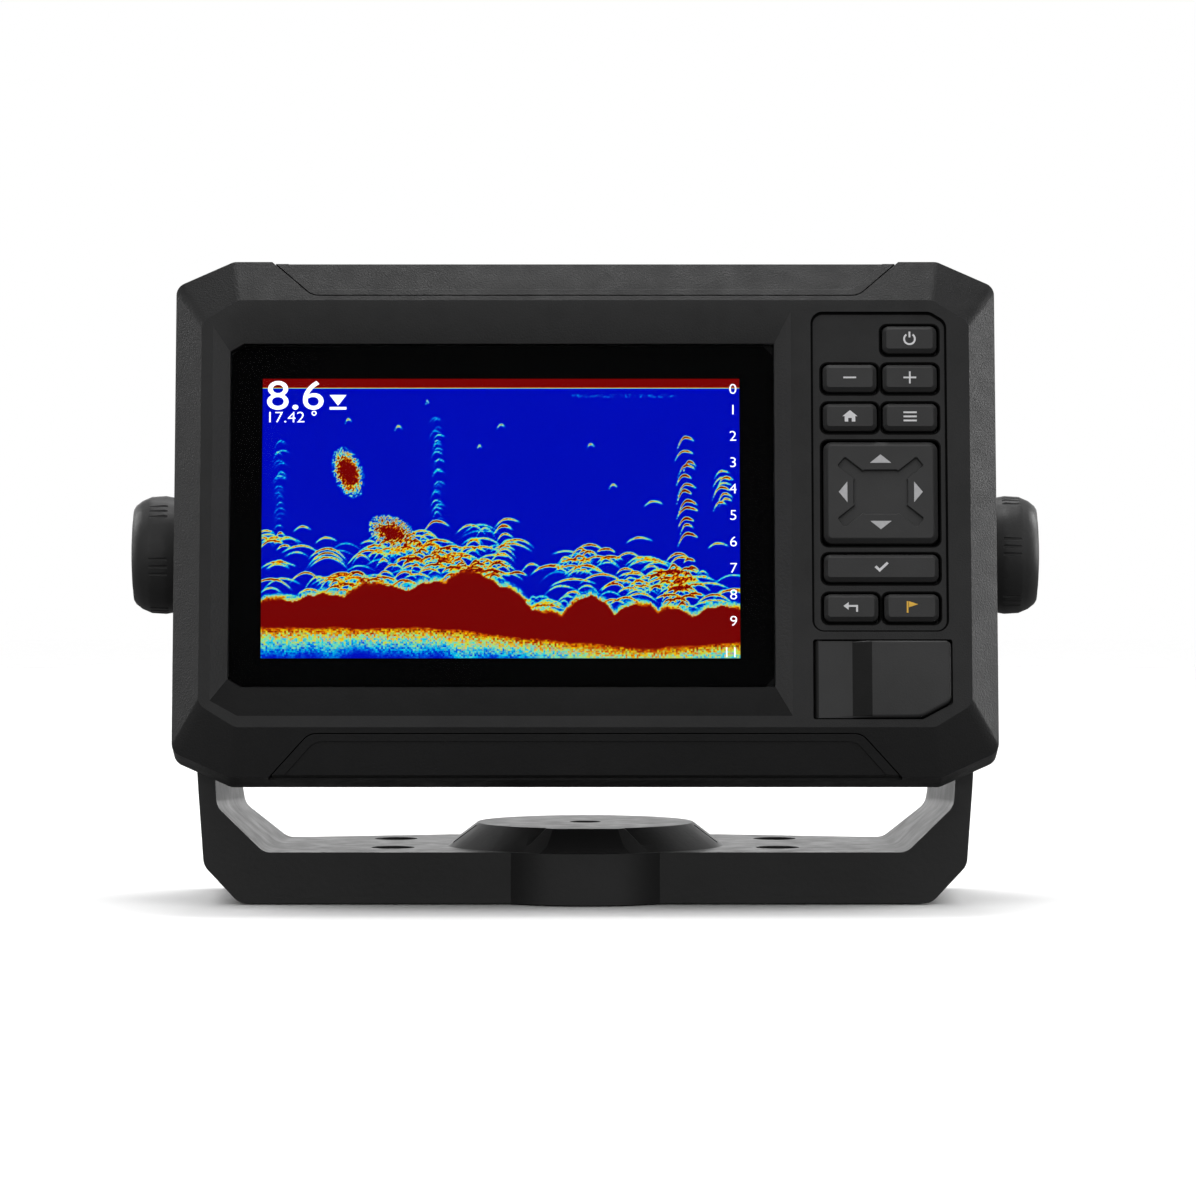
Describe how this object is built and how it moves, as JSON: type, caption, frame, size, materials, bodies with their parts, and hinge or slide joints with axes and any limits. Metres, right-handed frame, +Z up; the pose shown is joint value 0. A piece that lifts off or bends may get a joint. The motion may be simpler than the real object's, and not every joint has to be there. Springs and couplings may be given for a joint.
{
  "type": "fish finder",
  "caption": "Keyed fish finder display unit on a tilting, swivelling bail mount with clamp knobs and a quick-release cradle.",
  "frame": {"origin": "on the mounting surface, on the axis of the swivel foot", "axes": "+X to the viewer's right along the tilt axis, -Y towards the viewer, +Z up"},
  "size_m": [0.2098, 0.0985, 0.1464],
  "materials": {
    "housing_plastic": "fine grained",
    "trim_plastic": "fine grained",
    "bail_plastic": "satin, glass-filled",
    "knob_plastic": "satin",
    "key_rubber": "satin",
    "door_plastic": "satin",
    "seal_rubber": "matte",
    "lens_glass": "black printed border",
    "screen": "lit sonar picture",
    "backlight_metal": "tinned",
    "board_laminate": "solder mask",
    "ceramic": "fired",
    "moulded_black": "moulded",
    "socket_plastic": "moulded",
    "stainless": "stainless",
    "brass": "turned",
    "nylon": "moulded nylon"
  },
  "bodies": {
    "foot": {"swivel_base": "bail_plastic", "swivel_screw": "stainless", "swivel_washer": "stainless"},
    "bail": {"bail_bracket": "bail_plastic"},
    "cradle": {"cradle_body": "bail_plastic", "cradle_contacts": "moulded_black", "power_data_socket": "socket_plastic", "transducer_socket": "socket_plastic", "lever_pin": "stainless", "lever_spring": "stainless", "left_threaded_insert": "brass", "right_threaded_insert": "brass"},
    "lever": {"release_lever": "bail_plastic"},
    "unit": {"front_bezel": "housing_plastic", "top_trim_cap": "trim_plastic", "bottom_trim_cap": "trim_plastic", "display_lens": "lens_glass", "lens_gasket": "seal_rubber", "lcd_panel": "screen", "backlight_unit": "backlight_metal", "keypad_membrane": "seal_rubber", "keypad_board": "board_laminate", "card_door_pin": "stainless", "card_reader": "backlight_metal", "rear_housing": "housing_plastic", "housing_seal": "seal_rubber", "housing_screws": "stainless", "main_circuit_board": "board_laminate", "sonar_shield": "backlight_metal", "gps_antenna": "ceramic", "beeper": "moulded_black", "unit_connector": "moulded_black"},
    "rocker": {"rocker_actuator": "moulded_black"},
    "pad": {"direction_pad": "key_rubber"},
    "door": {"card_door": "door_plastic", "card_door_seal": "seal_rubber"},
    "power_button": {"power_key": "key_rubber"},
    "minus_button": {"minus_key": "key_rubber"},
    "plus_button": {"plus_key": "key_rubber"},
    "home_button": {"home_key": "key_rubber"},
    "menu_button": {"menu_key": "key_rubber"},
    "select_button": {"select_key": "key_rubber"},
    "back_button": {"back_key": "key_rubber"},
    "mark_button": {"mark_key": "key_rubber"},
    "left_washer": {"left_friction_washer": "nylon"},
    "left_knob": {"left_knob_grip": "knob_plastic", "left_knob_cap": "knob_plastic", "left_knob_bolt": "stainless"},
    "right_washer": {"right_friction_washer": "nylon"},
    "right_knob": {"right_knob_grip": "knob_plastic", "right_knob_cap": "knob_plastic", "right_knob_bolt": "stainless"}
  },
  "joints": [
    {"name": "bail_swivel", "type": "hinge", "parent": "foot", "child": "bail", "pos_m": [0, 0, 0], "axis": [0, 0, 1], "range_deg": [-90, 90]},
    {"name": "unit_tilt", "type": "hinge", "parent": "bail", "child": "cradle", "pos_m": [0, 0, 0.0788], "axis": [1, 0, 0], "range_deg": [-60, 15]},
    {"name": "unit_release", "type": "slide", "parent": "cradle", "child": "unit", "axis": [0, -0.9687, 0.2484], "range_m": [0, 0.03]},
    {"name": "release_lever_press", "type": "hinge", "parent": "cradle", "child": "lever", "pos_m": [0, 0.00837, 0.11227], "axis": [-1, 0, 0], "range_deg": [0, 12], "stiffness_Nm_per_rad": 0.25},
    {"name": "card_door_swing", "type": "hinge", "parent": "unit", "child": "door", "pos_m": [0.0524, -0.05715, 0.05237], "axis": [0, -0.2484, -0.9687], "range_deg": [0, 95]},
    {"name": "pad_rock_up_down", "type": "hinge", "parent": "unit", "child": "rocker", "pos_m": [0.06665, -0.04471, 0.09365], "axis": [1, 0, 0], "range_deg": [-2.5, 2.5], "stiffness_Nm_per_rad": 0.2},
    {"name": "pad_rock_left_right", "type": "hinge", "parent": "rocker", "child": "pad", "pos_m": [0.06665, -0.04471, 0.09365], "axis": [0, 0.2484, 0.9687], "range_deg": [-2.5, 2.5], "stiffness_Nm_per_rad": 0.2},
    {"name": "power_press", "type": "slide", "parent": "unit", "child": "power_button", "axis": [0, 0.9687, -0.2484], "range_m": [0, 0.0008], "stiffness_N_per_m": 900},
    {"name": "minus_press", "type": "slide", "parent": "unit", "child": "minus_button", "axis": [0, 0.9687, -0.2484], "range_m": [0, 0.0008], "stiffness_N_per_m": 900},
    {"name": "plus_press", "type": "slide", "parent": "unit", "child": "plus_button", "axis": [0, 0.9687, -0.2484], "range_m": [0, 0.0008], "stiffness_N_per_m": 900},
    {"name": "home_press", "type": "slide", "parent": "unit", "child": "home_button", "axis": [0, 0.9687, -0.2484], "range_m": [0, 0.0008], "stiffness_N_per_m": 900},
    {"name": "menu_press", "type": "slide", "parent": "unit", "child": "menu_button", "axis": [0, 0.9687, -0.2484], "range_m": [0, 0.0008], "stiffness_N_per_m": 900},
    {"name": "select_press", "type": "slide", "parent": "unit", "child": "select_button", "axis": [0, 0.9687, -0.2484], "range_m": [0, 0.0008], "stiffness_N_per_m": 900},
    {"name": "back_press", "type": "slide", "parent": "unit", "child": "back_button", "axis": [0, 0.9687, -0.2484], "range_m": [0, 0.0008], "stiffness_N_per_m": 900},
    {"name": "mark_press", "type": "slide", "parent": "unit", "child": "mark_button", "axis": [0, 0.9687, -0.2484], "range_m": [0, 0.0008], "stiffness_N_per_m": 900},
    {"name": "left_knob_draw", "type": "slide", "parent": "cradle", "child": "left_washer", "axis": [-1, 0, 0], "range_m": [0, 0.0021]},
    {"name": "left_knob_turn", "type": "hinge", "parent": "left_washer", "child": "left_knob", "pos_m": [-0.098, 0, 0.0788], "axis": [-1, 0, 0], "range_deg": [0, 720]},
    {"name": "right_knob_draw", "type": "slide", "parent": "cradle", "child": "right_washer", "axis": [1, 0, 0], "range_m": [0, 0.0021]},
    {"name": "right_knob_turn", "type": "hinge", "parent": "right_washer", "child": "right_knob", "pos_m": [0.098, 0, 0.0788], "axis": [1, 0, 0], "range_deg": [0, 720]}
  ],
  "couplings": [
    {"joint": "left_knob_draw", "follows": "left_knob_turn", "m_per_rad": 0.00015915},
    {"joint": "right_knob_draw", "follows": "right_knob_turn", "m_per_rad": 0.00015915}
  ]
}
